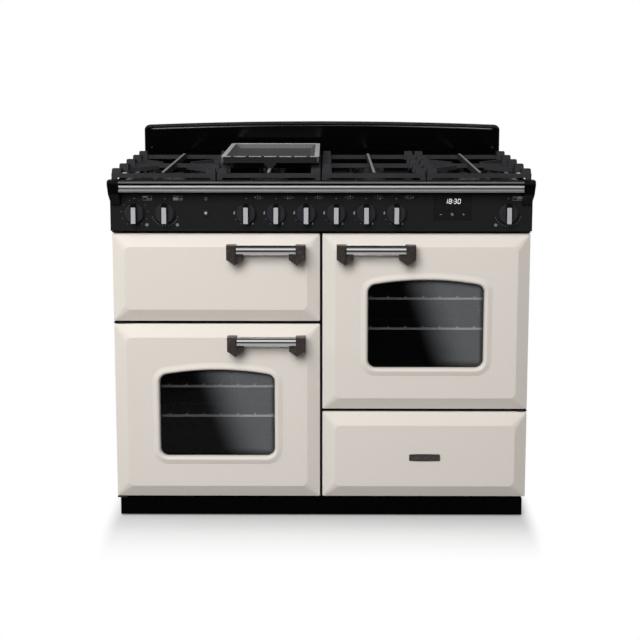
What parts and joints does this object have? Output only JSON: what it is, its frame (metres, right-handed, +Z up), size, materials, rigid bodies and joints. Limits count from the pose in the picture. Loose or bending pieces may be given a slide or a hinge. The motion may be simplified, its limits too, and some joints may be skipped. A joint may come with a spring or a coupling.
{
  "type": "dual fuel range cooker",
  "caption": "Free-standing range cooker with a gas hob, two side-hinged ovens, a grill, a storage drawer and a backguard.",
  "frame": {"origin": "on the floor under the middle of the cooker's outline", "axes": "+X to the right along the cooker's width, +Y to the back, +Z up; the doors face -Y"},
  "size_m": [1.096, 0.648, 1.017],
  "materials": {
    "cream_enamel": "gloss vitreous enamel, warm cream",
    "black_enamel": "gloss black vitreous enamel",
    "plinth_black": "matt black",
    "fascia_black": "satin black",
    "rail_steel": "polished rail",
    "cap_black": "satin black end blocks",
    "handle_chrome": "bright chrome",
    "pewter": "dark pewter",
    "oven_glass": "dark tinted oven glass",
    "knob_black": "black knob with a bright insert",
    "clock_face": "gloss black clock face",
    "support_iron": "matt black enamelled cast iron",
    "griddle_alloy": "dark non-stick plate with a bright rim",
    "burner_alloy": "cast alloy crowns",
    "oven_enamel": "speckled dark enamel",
    "rack_chrome": "chromed wire",
    "casing_paint": "black stove paint",
    "zinc_steel": "zinc plated sheet",
    "liner_enamel": "dark enamelled inner sheet",
    "brass_fittings": "plain brass",
    "control_plastic": "matt black plastic"
  },
  "bodies": {
    "carcass": {"backguard": "black_enamel", "base_frame": "zinc_steel", "burner_caps": "black_enamel", "burner_crowns": "burner_alloy", "casing_panels": "casing_paint", "clock_module": "clock_face", "control_panel": "fascia_black", "drawer_runners": "zinc_steel", "fan_drives": "zinc_steel", "front_feet": "control_plastic", "front_frame": "casing_paint", "front_rail": "rail_steel", "gas_manifold": "brass_fittings", "grill_cavity": "oven_enamel", "grill_pan": "oven_enamel", "hinge_brackets": "casing_paint", "hob_deck": "black_enamel", "left_oven_cavity": "oven_enamel", "oven_controls": "control_plastic", "oven_racks": "rack_chrome", "plinth": "plinth_black", "rail_end_caps": "cap_black", "right_oven_cavity": "oven_enamel", "terminal_box": "control_plastic"},
    "grill_door": {"grill_door_panel": "cream_enamel", "grill_door_liner": "liner_enamel", "grill_door_handle_bar": "handle_chrome", "grill_door_handle_brackets": "pewter"},
    "left_oven_door": {"left_oven_door_panel": "cream_enamel", "left_oven_door_glass": "oven_glass", "left_oven_door_liner": "liner_enamel", "left_oven_door_handle_bar": "handle_chrome", "left_oven_door_handle_brackets": "pewter"},
    "right_oven_door": {"right_oven_door_panel": "cream_enamel", "right_oven_door_glass": "oven_glass", "right_oven_door_liner": "liner_enamel", "right_oven_door_handle_bar": "handle_chrome", "right_oven_door_handle_brackets": "pewter"},
    "drawer": {"drawer_front": "cream_enamel", "badge_plate": "pewter", "drawer_box": "liner_enamel"},
    "light_button": {"light_button": "handle_chrome"},
    "griddle": {"griddle": "griddle_alloy"},
    "left_roller": {"left_roller": "control_plastic"},
    "right_roller": {"right_roller": "control_plastic"},
    "left_oven_fan": {"left_oven_fan": "zinc_steel"},
    "right_oven_fan": {"right_oven_fan": "zinc_steel"},
    "grill_knob": {"grill_knob": "knob_black"},
    "left_oven_knob": {"left_oven_knob": "knob_black"},
    "right_oven_knob": {"right_oven_knob": "knob_black"},
    "hob_knob_1": {"hob_knob_1": "knob_black"},
    "hob_knob_2": {"hob_knob_2": "knob_black"},
    "hob_knob_3": {"hob_knob_3": "knob_black"},
    "hob_knob_4": {"hob_knob_4": "knob_black"},
    "hob_knob_5": {"hob_knob_5": "knob_black"},
    "hob_knob_6": {"hob_knob_6": "knob_black"},
    "pan_support_1": {"pan_support_1": "support_iron"},
    "pan_support_2": {"pan_support_2": "support_iron"},
    "pan_support_3": {"pan_support_3": "support_iron"},
    "pan_support_4": {"pan_support_4": "support_iron"}
  },
  "joints": [
    {"name": "grill_door_hinge", "type": "hinge", "parent": "carcass", "child": "grill_door", "pos_m": [-0.531, -0.2655, 0.6535], "axis": [0, 0, -1], "range_deg": [0, 100]},
    {"name": "left_oven_door_hinge", "type": "hinge", "parent": "carcass", "child": "left_oven_door", "pos_m": [-0.531, -0.2655, 0.293], "axis": [0, 0, -1], "range_deg": [0, 100]},
    {"name": "right_oven_door_hinge", "type": "hinge", "parent": "carcass", "child": "right_oven_door", "pos_m": [0.531, -0.2655, 0.534], "axis": [0, 0, 1], "range_deg": [0, 100]},
    {"name": "drawer_slide", "type": "slide", "parent": "carcass", "child": "drawer", "axis": [0, -1, 0], "range_m": [0, 0.4]},
    {"name": "hob_knob_1_turn", "type": "hinge", "parent": "carcass", "child": "hob_knob_1", "pos_m": [-0.194, -0.293, 0.825], "axis": [0, -1, 0], "range_deg": [0, 215]},
    {"name": "hob_knob_2_turn", "type": "hinge", "parent": "carcass", "child": "hob_knob_2", "pos_m": [-0.1164, -0.293, 0.825], "axis": [0, -1, 0], "range_deg": [0, 215]},
    {"name": "hob_knob_3_turn", "type": "hinge", "parent": "carcass", "child": "hob_knob_3", "pos_m": [-0.0388, -0.293, 0.825], "axis": [0, -1, 0], "range_deg": [0, 215]},
    {"name": "hob_knob_4_turn", "type": "hinge", "parent": "carcass", "child": "hob_knob_4", "pos_m": [0.0388, -0.293, 0.825], "axis": [0, -1, 0], "range_deg": [0, 215]},
    {"name": "hob_knob_5_turn", "type": "hinge", "parent": "carcass", "child": "hob_knob_5", "pos_m": [0.1164, -0.293, 0.825], "axis": [0, -1, 0], "range_deg": [0, 215]},
    {"name": "hob_knob_6_turn", "type": "hinge", "parent": "carcass", "child": "hob_knob_6", "pos_m": [0.194, -0.293, 0.825], "axis": [0, -1, 0], "range_deg": [0, 215]},
    {"name": "grill_knob_turn", "type": "hinge", "parent": "carcass", "child": "grill_knob", "pos_m": [-0.483, -0.293, 0.825], "axis": [0, 1, 0], "range_deg": [0, 270]},
    {"name": "left_oven_knob_turn", "type": "hinge", "parent": "carcass", "child": "left_oven_knob", "pos_m": [-0.404, -0.293, 0.825], "axis": [0, 1, 0], "range_deg": [0, 270]},
    {"name": "right_oven_knob_turn", "type": "hinge", "parent": "carcass", "child": "right_oven_knob", "pos_m": [0.483, -0.293, 0.825], "axis": [0, 1, 0], "range_deg": [0, 270]},
    {"name": "light_button_press", "type": "slide", "parent": "carcass", "child": "light_button", "axis": [0, 1, 0], "range_m": [0, 0.003], "stiffness_N_per_m": 300},
    {"name": "left_roller_spin", "type": "hinge", "parent": "carcass", "child": "left_roller", "pos_m": [-0.47, 0.25, 0.02], "axis": [1, 0, 0], "continuous": true},
    {"name": "right_roller_spin", "type": "hinge", "parent": "carcass", "child": "right_roller", "pos_m": [0.47, 0.25, 0.02], "axis": [1, 0, 0], "continuous": true},
    {"name": "left_oven_fan_spin", "type": "hinge", "parent": "carcass", "child": "left_oven_fan", "pos_m": [-0.2709, 0.14, 0.29235], "axis": [0, 1, 0], "continuous": true},
    {"name": "right_oven_fan_spin", "type": "hinge", "parent": "carcass", "child": "right_oven_fan", "pos_m": [0.2709, 0.14, 0.53125], "axis": [0, 1, 0], "continuous": true},
    {"name": "pan_support_1_lift", "type": "slide", "parent": "carcass", "child": "pan_support_1", "axis": [0, 0, 1], "range_m": [0, 0.08]},
    {"name": "pan_support_2_lift", "type": "slide", "parent": "carcass", "child": "pan_support_2", "axis": [0, 0, 1], "range_m": [0, 0.08]},
    {"name": "pan_support_3_lift", "type": "slide", "parent": "carcass", "child": "pan_support_3", "axis": [0, 0, 1], "range_m": [0, 0.08]},
    {"name": "pan_support_4_lift", "type": "slide", "parent": "carcass", "child": "pan_support_4", "axis": [0, 0, 1], "range_m": [0, 0.08]},
    {"name": "griddle_lift", "type": "slide", "parent": "pan_support_2", "child": "griddle", "axis": [0, 0, 1], "range_m": [0, 0.08]}
  ]
}
